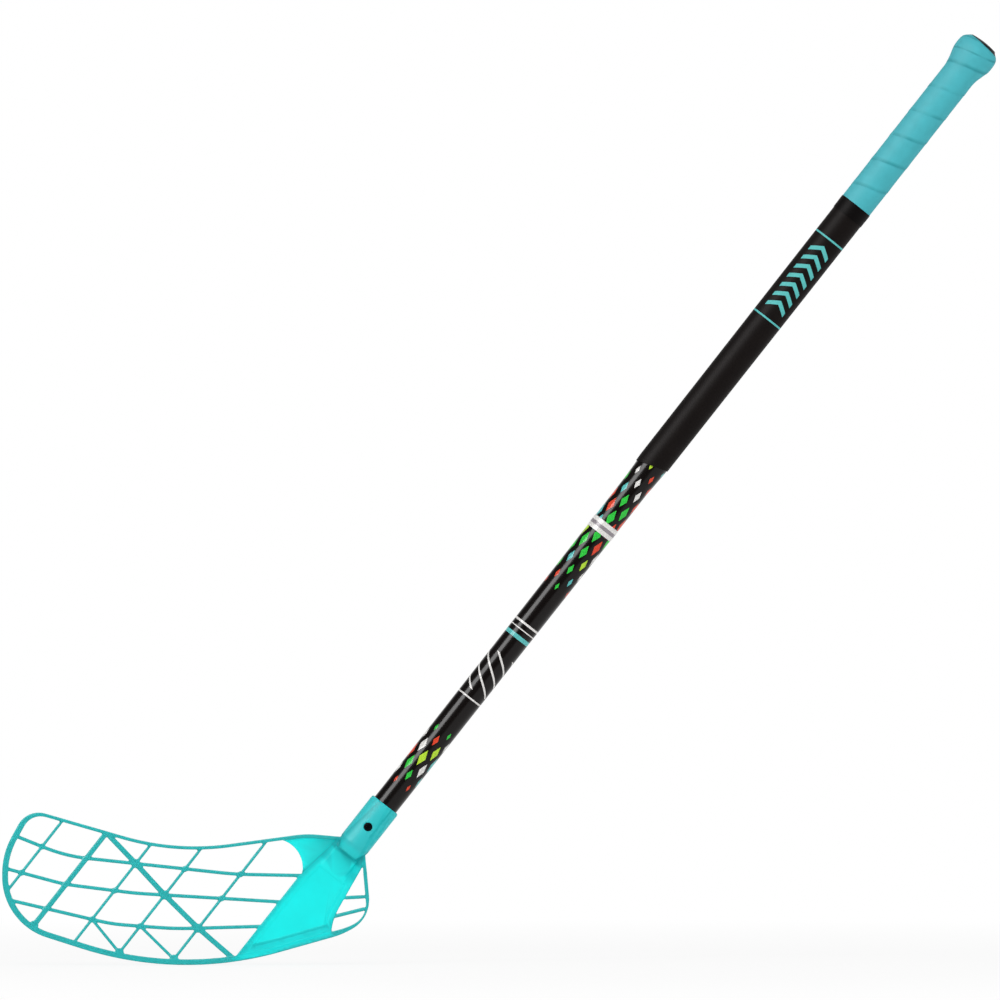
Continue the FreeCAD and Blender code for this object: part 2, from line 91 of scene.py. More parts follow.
def linear(code):
    """Linear colour of an sRGB hex code, with full alpha."""
    shares = [int(code[place:place + 2], 16) / 255 for place in (1, 3, 5)]
    light = [s / 12.92 if s <= 0.04045 else ((s + 0.055) / 1.055) ** 2.4 for s in shares]
    return (*light, 1.0)


def length(name, description, metres):
    """Property for a size, in metres."""
    return FloatProperty(name=name, description=description, default=metres, unit="LENGTH", precision=5)


def colour(name, description, code):
    """Property for a colour, from its sRGB hex code."""
    return FloatVectorProperty(
        name=name, description=description, default=linear(code), size=4, subtype="COLOR",
        min=0.0, max=1.0)


class StickSizes(bpy.types.PropertyGroup):
    """Sizes of the forms that the looks add to the frame."""

    neck_foot: length("Neck foot", "Station of the lower end of the neck from the grip", -0.666)
    neck_radius: length("Neck radius", "Outer radius of the neck", 0.01185)
    neck_length: length("Neck length", "Length of the neck from its lower end", 0.046)
    neck_lip: length("Neck lip", "Rounding of the neck's upper end", 0.0016)
    panel_offset: length("Panel offset", "Place of the panel's slanted edge at the neck foot", -0.0224)
    panel_bend: length("Panel bend", "Height at which the panel's edge leaves its slant", -0.0168)
    hook_start: length("Hook start", "Place along the blade at which the hook begins", -0.040)
    hook_radius: length("Hook radius", "Radius of the hook of the blade", 1.8)
    edge_cell: length("Edge cell", "Cell size in which the moulded edges are rounded", 0.0005)
    edge_passes: IntProperty(name="Edge passes", description="Passes that soften the edges", default=4)
    edge_share: FloatProperty(
        name="Edge share", description="Share of the rounded faces that is kept", default=0.4)
    rib_growth: length("Rib growth", "Growth of the ribs that makes up for their softening", 0.00012)
    heel_growth: FloatProperty(
        name="Heel growth", description="Further growth of the ribs in the heel, in rib growths", default=2.0)
    tape_pitch: length("Tape pitch", "Rise of the grip tape in one turn", 0.0228)
    tape_width: length("Tape width", "Width of the grip tape with its lap", 0.0250)
    tape_thickness: length("Tape thickness", "Thickness of the grip tape", 0.00055)
    tape_lift: length("Tape lift", "Rise of the tape where it laps over the turn before", 0.00016)
    tape_slant: length("Tape slant", "Slant of the tape's end over the knob", 0.0032)
    tape_start: FloatProperty(
        name="Tape start", description="Angle at which the tape starts", default=math.radians(-52.0),
        unit="ROTATION")
    turn_steps: IntProperty(name="Turn steps", description="Steps in one turn of a ring", default=96)
    film_edge: length("Film edge", "Rounding of the edges of sleeve, band and tape", 0.00012)
    butt_dome: length("Butt dome", "Swell of the butt cap's face", 0.0009)
    butt_lip: length("Butt lip", "Swell of the butt cap's edge where the tape leaves it bare", 0.0005)
    thread_pitch: length("Thread pitch", "Rise of the screw thread in one turn", 0.0013)
    thread_depth: length("Thread depth", "Height of the screw thread", 0.00035)
    camera_distance: length("Camera distance", "Distance of the camera from the blade's plane", 12.0)
    photo_width: length("Photo width", "Width of the view at the blade's plane", 0.735)


class StickColours(bpy.types.PropertyGroup):
    """Colours of the pieces, the prints and the stage."""

    rib: colour("Ribs", "Moulded lattice and rim of the blade", "#2ABABA")
    panel: colour("Panel", "Bright field of the blade's panel", "#0AF6F3")
    border: colour("Panel border", "Border of the panel and the ramp", "#04DADB")
    # Painted shade: dark colour laid in the panel's creases, corners, recessed web and along its walls
    painted_shade: colour("Panel shade", "Creases and corners of the panel", "#02A4A8")
    neck: colour("Neck", "Neck of the blade", "#30CCD0")
    lacquer: colour("Lacquer", "Lacquer of the shaft", "#0E0908")
    sleeve: colour("Sleeve", "Shrink sleeve", "#161211")
    white: colour("Print white", "White of the prints and the label band", "#E6E4E1")
    grey: colour("Print grey", "Middle stripe of the label band", "#938C92")
    teal: colour("Print teal", "Teal of the prints", "#5FC0BE")
    green: colour("Print green", "Green of the prints", "#35C845")
    red: colour("Print red", "Red of the prints", "#E0482E")
    lime: colour("Print lime", "Lime of the prints", "#B8E03A")
    grip: colour("Grip", "Grip tape", "#48B5C0")
    # Painted shade: the colour laid along the tape's edges and laps
    grip_edge_shade: colour("Grip edge", "Edges of the grip tape", "#2E98A2")
    vinyl: colour("Vinyl", "Finish tape", "#0B0808")
    rubber: colour("Rubber", "Butt cap", "#1B1B1C")
    nylon: colour("Nylon", "Plug in the end of the shaft", "#8A8D90")
    steel: colour("Steel", "Blackened screw", "#16181B")
    paper: colour("Paper", "Floor of the studio", "#F4F4F4")


def add(tree, kind, inputs=None, out=0, **settings):
    """Add a node with its settings, set or link its inputs, and give one of its outputs."""
    node = tree.nodes.new(kind)
    for name, value in settings.items():
        setattr(node, name, value)
    for key, value in (inputs or {}).items():
        if isinstance(value, bpy.types.NodeSocket):
            tree.links.new(value, node.inputs[key])
        else:
            node.inputs[key].default_value = value
    return node.outputs[out] if node.outputs else node


def new_material(name):
    """Empty material, its node tree and the Object coordinates in that tree."""
    material = bpy.data.materials.new(name)
    material.use_nodes = True
    tree = material.node_tree
    tree.nodes.clear()
    return material, tree, add(tree, "ShaderNodeTexCoord", out="Object")


def surfaced(material, inputs):
    """Material finished with one shader that has the given inputs."""
    shader = add(material.node_tree, "ShaderNodeBsdfPrincipled", inputs)
    add(material.node_tree, "ShaderNodeOutputMaterial", {"Surface": shader})
    return material


def shaft_space(tree, place):
    """Angle round the shaft and station along it, from Object coordinates turned by its lean."""
    turned = add(tree, "ShaderNodeMapping", {"Vector": place, "Rotation": (0.0, -LEAN, 0.0)})
    across, back, station = add(tree, SPLIT, {0: turned}).node.outputs
    return add(tree, MATH, {0: back, 1: across}, operation="ARCTAN2"), station


def laid_over(tree, tint, layers):
    """Colour with paints laid over it in turn, each by its mask.

    A mix node's inputs 6 and 7 and its output 2 are its colours."""
    for mask, paint in layers:
        tint = add(tree, "ShaderNodeMix", {0: mask, 6: tint, 7: paint}, out=2, data_type="RGBA")
    return tint


def grain(tree, place, size, depth):
    """Normal of a fine irregular grain of a size and depth, drawn as coarse as it needs to show."""
    noise = add(tree, NOISE, {"Vector": place, "Scale": 1 / size, "Detail": 3.0})
    return add(tree, "ShaderNodeBump", {"Distance": depth, "Height": noise})


def mottled(tree, place, tint, size, levels, detail=3.0):
    """Colour that wanders between two levels of lightness in patches of a real size."""
    noise = add(tree, NOISE, {"Vector": place, "Scale": 1 / size, "Detail": detail})
    level = add(tree, MAP_RANGE, {0: noise, 3: levels[0], 4: levels[1]})
    return add(tree, "ShaderNodeHueSaturation", {"Value": level, "Color": tint})


def away_from(tree, value, middle):
    """Distance of a value from a middle."""
    off = add(tree, MATH, {0: value, 1: middle}, operation="SUBTRACT")
    return add(tree, MATH, {0: off}, operation="ABSOLUTE")


def climbing_bars(tree, station, rise, across, slope, share):
    """Mask of bars that climb across the shaft, and the climb at each point, counted in bars."""
    climb = add(tree, MATH, {0: station, 1: 1 / rise}, operation="MULTIPLY")
    swing = add(tree, MATH, {0: across, 1: slope, 2: climb}, operation="MULTIPLY_ADD")
    phase = add(tree, MATH, {0: swing}, operation="FRACT")
    return add(tree, MATH, {0: phase, 1: share}, operation="LESS_THAN"), swing


def moulded_blade(colours):
    """Moulded polypropylene: satin and slightly translucent, so its edges glow softly.

    Its creases are rough, so that they catch no streak of light."""
    material, tree, place = new_material("moulded_polypropylene")
    flow_size = 0.0167
    satin = 0.36
    rough = 0.95
    # The dark panel colour goes on as painted shade in creases, corners and along walls
    paints = {"panel": colours.border, "field": colours.panel, "neck": colours.neck, "painted_shade": colours.painted_shade}
    masks = {name: add(tree, ATTRIBUTE, out="Fac", attribute_name=name) for name in (*paints, "dull")}
    tint = laid_over(tree, colours.rib, [(masks[name], paint) for name, paint in paints.items()])
    return surfaced(material, {
        "Base Color": mottled(tree, place, tint, flow_size, (0.92, 1.06), detail=2.0),
        "Roughness": add(tree, MAP_RANGE, {0: masks["dull"], 3: satin, 4: rough}), "IOR": 1.33,
        "Subsurface Weight": 0.25, "Subsurface Radius": (0.3, 1.0, 1.0), "Subsurface Scale": 0.002,
        "Normal": grain(tree, place, size=0.0006, depth=0.00002)})


def lozenges(tree, angle, station, colours):
    """Mask and paint of staggered lozenges that shrink towards the ends of two zones of the shaft."""
    columns = 10
    cell_length = 0.016
    zones = ((-0.361, 0.062), (-0.576, 0.027))
    full_share = 0.2
    largest = 0.86
    smallest = 0.3
    column_place = add(tree, MATH, {0: angle, 1: columns / math.tau}, operation="MULTIPLY")
    column = add(tree, MATH, {0: column_place}, operation="FLOOR")
    odd = add(tree, MATH, {0: column, 1: 2.0}, operation="FLOORED_MODULO")
    shift = add(tree, MATH, {0: odd, 1: 2.0}, operation="DIVIDE")
    row_place = add(tree, MATH, {0: station, 1: 1 / cell_length, 2: shift}, operation="MULTIPLY_ADD")
    row = add(tree, MATH, {0: row_place}, operation="FLOOR")
    spread = 0.0
    for cell_place in (column_place, row_place):
        inside = add(tree, MATH, {0: cell_place}, operation="FRACT")
        side = away_from(tree, inside, 0.5)
        spread = add(tree, MATH, {0: side, 1: 2.0, 2: spread}, operation="MULTIPLY_ADD")
    cell_low = add(tree, MATH, {0: row, 1: shift}, operation="SUBTRACT")
    cell_station = add(tree, MATH, {0: cell_low, 1: cell_length, 2: cell_length / 2},
                       operation="MULTIPLY_ADD")
    size = 0.0
    for middle, half in zones:
        away = away_from(tree, cell_station, middle)
        share = add(tree, MAP_RANGE, {0: away, 1: half * full_share, 2: half, 3: largest, 4: smallest})
        kept = add(tree, MATH, {0: away, 1: half}, operation="LESS_THAN")
        share = add(tree, MATH, {0: share, 1: kept}, operation="MULTIPLY")
        size = add(tree, MATH, {0: size, 1: share}, operation="MAXIMUM")
    lozenge = add(tree, MATH, {0: spread, 1: size}, operation="LESS_THAN")
    cell_of = add(tree, "ShaderNodeCombineXYZ", {0: column, 1: row})
    pick = add(tree, "ShaderNodeTexWhiteNoise", {0: cell_of}, noise_dimensions="2D")
    paint = add(tree, "ShaderNodeValToRGB", {0: pick})
    ramp = paint.node.color_ramp
    ramp.interpolation = "CONSTANT"
    ramp.elements.remove(ramp.elements[1])
    ramp.elements[0].color = colours.white
    stops = ((0.2, colours.green), (0.44, colours.red), (0.64, colours.teal), (0.84, colours.lime))
    for position, tint in stops:
        ramp.elements.new(position).color = tint
    return lozenge, paint


def lacquered_shaft(colours):
    """Clear-lacquered composite: deep black with a sharp streak of light, lozenges printed under it."""
    material, tree, place = new_material("lacquered_composite")
    angle, station = shaft_space(tree, place)
    rings = (
        (-0.452, 0.0008, colours.white), (-0.457, 0.0004, colours.white),
        (-0.463, 0.0016, colours.teal), (-0.520, 0.0006, colours.white))
    bar_rise = 0.011
    bars_round = 4
    bar_share = 0.16
    zone_middle = -0.497
    zone_half = 0.017
    layers = [lozenges(tree, angle, station, colours)]
    for middle, half, paint in rings:
        layers.append((add(tree, MATH, {0: station, 1: middle, 2: half}, operation="COMPARE"), paint))
    bars, _ = climbing_bars(tree, station, bar_rise, angle, bars_round / math.tau, bar_share)
    zone = add(tree, MATH, {0: station, 1: zone_middle, 2: zone_half}, operation="COMPARE")
    layers.append((add(tree, MATH, {0: bars, 1: zone}, operation="MULTIPLY"), colours.white))
    return surfaced(material, {
        "Base Color": laid_over(tree, colours.lacquer, layers), "Roughness": 0.2, "IOR": 1.3,
        "Normal": grain(tree, place, size=0.004, depth=0.00001)})


def shrink_film(colours):
    """Matt heat-shrink film: brown-black with a fine pebble, chevrons printed on its front."""
    material, tree, place = new_material("shrink_film")
    angle, station = shaft_space(tree, place)
    chevron_rise = 0.0085
    chevron_slant = 0.9
    chevron_share = 0.42
    half_width = 0.72
    middle_row = -15.0
    half_rows = 3.5
    ring_half = 0.0007
    mottle_size = 0.0111
    side = away_from(tree, angle, -math.pi / 2)
    chevrons, swing = climbing_bars(tree, station, chevron_rise, side, chevron_slant, chevron_share)
    row = add(tree, MATH, {0: swing}, operation="FLOOR")
    wide = add(tree, MATH, {0: side, 1: half_width}, operation="LESS_THAN")
    zone = add(tree, MATH, {0: row, 1: middle_row, 2: half_rows}, operation="COMPARE")
    chevrons = add(tree, MATH, {0: chevrons, 1: zone}, operation="MULTIPLY")
    masks = [add(tree, MATH, {0: chevrons, 1: wide}, operation="MULTIPLY")]
    for middle in (-0.166, -0.092):
        masks.append(add(tree, MATH, {0: station, 1: middle, 2: ring_half}, operation="COMPARE"))
    film = mottled(tree, place, colours.sleeve, mottle_size, (0.8, 1.25))
    return surfaced(material, {
        "Base Color": laid_over(tree, film, [(mask, colours.teal) for mask in masks]),
        "Roughness": 0.5, "IOR": 1.15, "Normal": grain(tree, place, size=0.0009, depth=0.00006)})


def label_vinyl(colours):
    """Printed vinyl label: clean white with a grey middle stripe under a soft gloss."""
    material, tree, place = new_material("label_vinyl")
    station = shaft_space(tree, place)[1]
    places = shaft_places("label_band")
    middle = (places[0][0] + places[-1][0]) / 2
    half_stripe = 0.0014
    stripe = add(tree, MATH, {0: station, 1: middle, 2: half_stripe}, operation="COMPARE")
    return surfaced(material, {
        "Base Color": laid_over(tree, colours.white, [(stripe, colours.grey)]), "Roughness": 0.3,
        "IOR": 1.5, "Normal": grain(tree, place, size=0.002, depth=0.00001)})


def plain_finish(name, tint, roughness, grain_size, grain_depth, metallic=0.0, ior=1.5):
    """One-coloured finish whose fine grain and slight mottling catch the light unevenly."""
    material, tree, place = new_material(name)
    patch_size = 5 * grain_size
    return surfaced(material, {
        "Base Color": mottled(tree, place, tint, patch_size, (0.85, 1.2)), "Roughness": roughness,
        "Metallic": metallic, "IOR": ior, "Normal": grain(tree, place, grain_size, grain_depth)})


def grip_foam(colours):
    """Polyurethane grip tape: soft and matt, with painted shade along the edges and laps of the tape, in
    irregular patches.

    A second lap shows on the knob as a bump with painted shade along it, where the winding starts with a
    doubled turn."""
    material, tree, place = new_material("polyurethane_grip")
    angle, station = shaft_space(tree, place)
    lap_pitch = 0.0228
    lap_start = 0.0867
    lap_half = 0.0005
    lap_height = 0.0003
    crease_half = 0.0012
    crease_core = 0.0003
    edge_start = 0.37
    edge_full = 0.455
    least_edge_shade = 0.15
    most_edge_shade = 0.9
    shade_patch_size = 0.0143
    mottle_size = 0.0071
    # The edge mask lays painted shade along the tape's edges and its lap on the knob, patchy by noise
    across = add(tree, ATTRIBUTE, out="Fac", attribute_name="across")
    side = away_from(tree, across, 0.5)
    edge = add(tree, MAP_RANGE, {0: side, 1: edge_start, 2: edge_full})
    climb = add(tree, MATH, {0: angle, 1: lap_pitch / math.tau, 2: lap_start}, operation="MULTIPLY_ADD")
    over = add(tree, MATH, {0: station, 1: climb}, operation="SUBTRACT")
    step = add(tree, MAP_RANGE, {0: over, 1: -lap_half, 2: lap_half}, interpolation_type="SMOOTHSTEP")
    beyond = add(tree, MATH, {0: over}, operation="ABSOLUTE")
    crease = add(tree, MAP_RANGE, {0: beyond, 1: crease_half, 2: crease_core},
                 interpolation_type="SMOOTHSTEP")
    edge = add(tree, MATH, {0: edge, 1: crease}, operation="MAXIMUM")
    shade_noise = add(tree, NOISE, {"Vector": place, "Scale": 1 / shade_patch_size, "Detail": 1.0})
    shade_share = add(tree, MAP_RANGE, {0: shade_noise, 1: 0.36, 2: 0.62, 3: least_edge_shade, 4: most_edge_shade})
    edge = add(tree, MATH, {0: edge, 1: shade_share}, operation="MULTIPLY")
    tint = laid_over(tree, colours.grip, [(edge, colours.grip_edge_shade)])
    foam = grain(tree, place, size=0.0008, depth=0.00006)
    return surfaced(material, {
        "Base Color": mottled(tree, place, tint, mottle_size, (0.9, 1.1), detail=4.0),
        "Roughness": 0.65, "IOR": 1.35,
        "Normal": add(tree, "ShaderNodeBump", {"Distance": lap_height, "Height": step, "Normal": foam})})


def studio_paper(colours):
    """Matt white paper that keeps the stick's shadow and fades to plain white around it."""
    material, tree, place = new_material("studio_paper")
    near = 0.4
    far = 1.3
    near_share = 0.86
    away = add(tree, "ShaderNodeVectorMath", {0: place}, out="Value", operation="LENGTH")
    fade = add(tree, MAP_RANGE, {0: away, 1: near, 2: far, 3: near_share, 4: 1.0})
    rays = add(tree, "ShaderNodeLightPath").node.outputs
    seen = rays["Is Camera Ray"]
    for kind in ("Is Glossy Ray", "Is Transmission Ray"):
        seen = add(tree, MATH, {0: seen, 1: rays[kind]}, operation="MAXIMUM")
    share = add(tree, MATH, {0: seen, 1: fade}, operation="MULTIPLY")
    matt = add(tree, "ShaderNodeBsdfDiffuse", {"Color": colours.paper})
    white = add(tree, "ShaderNodeEmission", {"Color": (1.0, 1.0, 1.0, 1.0), "Strength": 1.0})
    shader = add(tree, "ShaderNodeMixShader", {0: share, 1: matt, 2: white})
    add(tree, "ShaderNodeOutputMaterial", {"Surface": shader})
    return material


def shaft_places(node):
    """Station along the shaft and distance from its axis of every point of a CAD node."""
    places = []
    for vertex in frame["nodes"][node].data.vertices:
        station = vertex.co.dot(AXIS)
        places.append((station, (vertex.co - AXIS * station).length))
    return sorted(places)


def turned_bands(node):
    """Stations of a turned CAD node, each with its least and greatest radius."""
    bands = []
    for station, radius in shaft_places(node):
        if not bands or station - bands[-1][0] > STATION_STEP:
            bands.append([station, radius, radius])
        bands[-1][1] = min(bands[-1][1], radius)
        bands[-1][2] = max(bands[-1][2], radius)
    return bands


def softened(loop, edge):
    """Closed loop with every corner rounded, and a point beside each rounding."""
    side_share = 0.2
    round_shares = (0.0, 0.3, 0.7, 1.0)
    points = []
    for index, corner in enumerate(loop):
        corner = Vector(corner)
        before = Vector(loop[index - 1]) - corner
        after = Vector(loop[(index + 1) % len(loop)]) - corner
        reach = min(edge, before.length * side_share, after.length * side_share)
        back = before.normalized() * reach
        ahead = after.normalized() * reach
        start = corner + back
        end = corner + ahead
        points.append(start + back)
        for share in round_shares:
            points.append(start.lerp(corner, share).lerp(corner.lerp(end, share), share))
        points.append(end + ahead)
    return points


def lay_out(name, mesh):
    """Object for a mesh, at the origin of the frame."""
    piece = bpy.data.objects.new(name, mesh)
    bpy.context.scene.collection.objects.link(piece)
    return piece


def tidy(mesh):
    """Join doubled points, close what is open and turn the faces outwards."""
    work = bmesh.new()
    work.from_mesh(mesh)
    bmesh.ops.remove_doubles(work, verts=work.verts, dist=MERGE)
    bmesh.ops.dissolve_degenerate(work, edges=work.edges, dist=MERGE)
    bmesh.ops.holes_fill(work, edges=work.edges, sides=0)
    bmesh.ops.recalc_face_normals(work, faces=work.faces)
    work.to_mesh(mesh)
    work.free()
    mesh.shade_smooth()


def ring(name, loop, steps, overlap=0.0):
    """Ring turned round the shaft from a loop of radius and station; an overlap steps at its end."""
    points = []
    faces = []
    count = len(loop)
    for step in range(steps):
        angle = math.tau * step / steps
        for radius, station in loop:
            wide = radius + overlap * step / steps
            points.append(TO_SHAFT @ Vector((wide * math.cos(angle), wide * math.sin(angle), station)))
        here = step * count
        ahead = (step + 1) % steps * count
        for index in range(count):
            after = (index + 1) % count
            faces.append((here + index, ahead + index, ahead + after, here + after))
    mesh = bpy.data.meshes.new(name)
    mesh.from_pydata(points, [], faces)
    tidy(mesh)
    return lay_out(name, mesh)


def loose_copy(node, name):
    """Object with a copy of a CAD node's mesh whose loose triangles are joined."""
    mesh = bpy.data.meshes.new_from_object(frame["nodes"][node])
    mesh.name = name
    mesh.materials.clear()
    if "custom_normal" in mesh.attributes:
        mesh.attributes.remove(mesh.attributes["custom_normal"])
    tidy(mesh)
    return lay_out(name, mesh)


def settle(piece):
    """Turn the result of a piece's modifiers into its plain mesh."""
    name = piece.name
    old = piece.data
    evaluated = piece.evaluated_get(bpy.context.evaluated_depsgraph_get())
    mesh = bpy.data.meshes.new_from_object(evaluated)
    if not mesh.polygons:
        raise RuntimeError(name + " came out empty")
    bpy.data.objects.remove(piece)
    store = bpy.data.curves if isinstance(old, bpy.types.Curve) else bpy.data.meshes
    store.remove(old)
    mesh.name = name
    return lay_out(name, mesh)


def hand_over(piece, body, node, material=None):
    """Give a finished piece its material and let it stand for its CAD node."""
    if material:
        piece.data.materials.clear()
        piece.data.materials.append(material)
    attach(piece, body)
    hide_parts(node)


def paint_node(node, material):
    """Give a CAD node that stays in view its material."""
    mesh = frame["nodes"][node].data
    mesh.materials.clear()
    mesh.materials.append(material)


def beside(point, start, end):
    """Distance of a blade point to the right of the line from start to end."""
    run = (end - start).normalized()
    return (point - start).dot(Vector((run.y, -run.x)))


def eased(value, low, high):
    """Share of the way from low to high, with a soft start and end."""
    share = min(max((value - low) / (high - low), 0.0), 1.0)
    return share * share * (3 - 2 * share)


# Forms of the blade's moulding as the fades that they are the product of: a measure of the point, where
# there is none of the form and where there is all of it, in metres
PANEL = (("side", -0.0004, 0.0006), ("rise", 0.0006, 0.0016))
FIELD = (*PANEL, ("station", -0.0115, -0.0155))
WEB = (("web", 0.0, 0.001), ("depth", 0.0024, 0.0019))
FORMS = {
    "panel": PANEL,
    "field": (*FIELD, ("rise", 0.009, 0.0105)),
    "field_foot": FIELD,
    # Painted light: the strip along the blade's underside, which faces down into shade, is lifted towards the
    # bright field colour
    "painted_rim_light": (*FIELD, ("rise", 0.005, 0.0036)),
    "ramp": (*PANEL, ("station", -0.019, -0.014), ("station", 0.001, -0.001)),
    # Painted light: the ramp next to the neck, shaded by it, is lifted towards the bright field colour
    "painted_ramp_light": (*PANEL, ("station", -0.009, -0.005)),
    "left_edge": (*PANEL, ("left", 0.005, 0.0)),
    "right_edge": (*PANEL, ("right", 0.003, 0.0)),
    "foot_line": (*PANEL, ("off_foot_line", 0.0016, 0.0005)),
    "rim_line": (*PANEL, ("off_rim_line", 0.0016, 0.0005)),
    "heel_line": (*PANEL, ("off_heel_line", 0.0018, 0.0007)),
    "web": WEB,
    "dark_web": (*WEB, ("x", -0.032, -0.014)),
    "seam": (("off_seam", 0.0024, 0.0012), ("over_bend", 0.0, 0.002), ("over_top", 0.001, -0.001),
             ("depth", 0.006, 0.004)),
    "neck": (("station", -0.0005, 0.001), ("off_neck", 0.0014, 0.0004)),
    # Where the neck's lower end gets a painted highlight
    "neck_foot": (("station", 0.0085, 0.0045),),
    "neck_root": (("station", -0.004, -0.001), ("away", 0.02, 0.016)),
    "crease": (("station", -0.0042, -0.0008), ("station", 0.0014, 0.0004), ("away", 0.018, 0.013)),
    "corner": (("station", -0.001, 0.001), ("station", 0.014, 0.01), ("away", 0.0155, 0.0125),
               ("depth", 0.0055, 0.0035)),
    "off_frame": (("off_frame", 0.004, 0.006),),
    "heel_ribs": (("right", -0.0006, -0.0014), ("x", 0.0132, 0.0116), ("z", -0.05, -0.0485),
                  ("z", -0.0275, -0.029)),
}
# Masks that the blade's material reads, as the forms in each and how strongly they show in it; the dark panel
# colour's mask is painted shade
MASKS = {
    "panel": {"panel": 1.0, "web": 1.0},
    # The field mask's rim strip and ramp forms are painted light
    "field": {"field": 1.0, "web": 1.0, "painted_rim_light": 0.6, "painted_ramp_light": 0.5, "field_foot": 0.4},
    "neck": {"neck": 1.0},
    # Painted shade: the crease at the neck, the corners, the recessed web and lines along the panel's walls
    # and edges
    "painted_shade": {
        "crease": 0.8, "corner": 0.8, "dark_web": 0.6, "left_edge": 0.5, "seam": 0.5, "foot_line": 0.5,
        "right_edge": 0.3, "rim_line": 0.15, "heel_line": 0.15},
    "dull": {
        "crease": 1.0, "seam": 1.0, "foot_line": 1.0, "rim_line": 1.0, "heel_line": 1.0, "ramp": 0.6,
        "neck": 0.22},
}


class STICK_OT_blade(bpy.types.Operator):
    """Round the moulded edges of the blade and mark its panel, field and neck"""

    bl_idname = "stick.blade"
    bl_label = "Blade"

    def execute(self, context):
        sizes = context.scene.stick_sizes
        piece = loose_copy("blade", "moulded_blade")
        cells = piece.modifiers.new("Cells", "REMESH")
        cells.mode = "VOXEL"
        cells.voxel_size = sizes.edge_cell
        soft = piece.modifiers.new("Soft edges", "SMOOTH")
        soft.factor = 0.5
        soft.iterations = sizes.edge_passes
        lean = piece.modifiers.new("Fewer faces", "DECIMATE")
        lean.ratio = sizes.edge_share
        piece = settle(piece)
        mesh = piece.data
        mesh.shade_smooth()
        self.round_lip(mesh, sizes)
        self.mark(mesh, sizes)
        self.fill_out(mesh, sizes)
        hand_over(piece, "stick", "blade", moulded_blade(context.scene.stick_colours))
        return {"FINISHED"}

    def round_lip(self, mesh, sizes):
        """Draw the outer edge of the neck's upper end in to a rounding."""
        foot = AXIS * sizes.neck_foot
        straight = sizes.neck_radius - sizes.neck_lip
        for vertex in mesh.vertices:
            station = (vertex.co - foot).dot(AXIS)
            out = vertex.co - foot - AXIS * station
            over = min(station - sizes.neck_length + sizes.neck_lip, sizes.neck_lip)
            if over > 0.0:
                limit = straight + math.sqrt(sizes.neck_lip ** 2 - over ** 2)
                vertex.co -= out * max(0.0, 1.0 - limit / out.length)

    def measures(self, mesh, sizes):
        """Where each point of the blade is, against the edges, lines and stations that its forms end at."""
        foot = AXIS * sizes.neck_foot
        slope = AXIS.x / AXIS.z
        panel_low = -0.09
        low = Vector((sizes.panel_offset + panel_low * slope, panel_low))
        bend = Vector((sizes.panel_offset + sizes.panel_bend * slope, sizes.panel_bend))
        top = Vector((-0.0052, 0.0119))
        heel = [Vector(corner) for corner in ((0.0203, 0.006), (-0.0102, -0.0475), (-0.0142, -0.08))]
        web_end = -0.0536
        web_low = -0.0125
        foot_line_rise = 0.0099
        rim_line_rise = 0.0042
        heel_line_place = 0.005
        column_width = 0.001
        underside = {}
        topside = {}
        places = [vertex.co.copy() for vertex in mesh.vertices]
        for place in places:
            column = round(place.x / column_width)
            underside[column] = min(place.z, underside.get(column, place.z))
            topside[column] = max(place.z, topside.get(column, place.z))
        tip = min(place.x for place in places)
        for place in places:
            x, y, z = place - foot
            point = Vector((x, z))
            column = round(place.x / column_width)
            rise = place.z - underside[column]
            reach = min(x - sizes.hook_start, 0.0)
            middle = math.sqrt(sizes.hook_radius ** 2 - reach ** 2) - sizes.hook_radius
            station = (place - foot).dot(AXIS)
            away = (place - foot - AXIS * station).length
            seam_side = beside(point, bend, top)
            left = min(beside(point, low, bend), seam_side)
            right = max(beside(point, heel[0], heel[1]), beside(point, heel[1], heel[2]))
            yield {
                "x": x, "z": z, "station": station, "away": away, "off_neck": away - sizes.neck_radius,
                "depth": abs(y - middle), "left": left, "right": right, "side": min(left, right),
                "rise": rise, "off_foot_line": abs(rise - foot_line_rise),
                "off_rim_line": abs(rise - rim_line_rise), "off_heel_line": abs(right - heel_line_place),
                "web": min(-seam_side, z - web_low, x - web_end), "off_seam": abs(seam_side),
                "over_bend": z - bend.y, "over_top": z - top.y,
                "off_frame": min(rise, topside[column] - place.z, place.x - tip)}

    def mark(self, mesh, sizes):
        """Store the masks of the blade at each point, and how far the point belongs to its thin ribs."""
        painted_foot_highlight = 0.4
        masks = {name: [] for name in (*MASKS, "ribs")}
        for spot in self.measures(mesh, sizes):
            share = {
                form: math.prod(eased(spot[name], none, full) for name, none, full in fades)
                for form, fades in FORMS.items()}
            # Painted highlight: less neck colour at the neck's lower end makes it paler
            share["neck"] *= 1.0 - painted_foot_highlight * share["neck_foot"]
            for name, strengths in MASKS.items():
                masks[name].append(max(strength * share[form] for form, strength in strengths.items()))
            ribs = (1.0 - max(share["panel"], share["web"], share["neck_root"])) * share["off_frame"]
            masks["ribs"].append(ribs * (1.0 + sizes.heel_growth * share["heel_ribs"]))
        for name, values in masks.items():
            mesh.attributes.new(name, "FLOAT", "POINT").data.foreach_set("value", values)

    def fill_out(self, mesh, sizes):
        """Give the thin ribs back what the softening took off them, and the heel ribs a little more."""
        shares = mesh.attributes["ribs"].data
        moves = [vertex.normal * sizes.rib_growth * share.value
                 for vertex, share in zip(mesh.vertices, shares)]
        for vertex, move in zip(mesh.vertices, moves):
            vertex.co += move


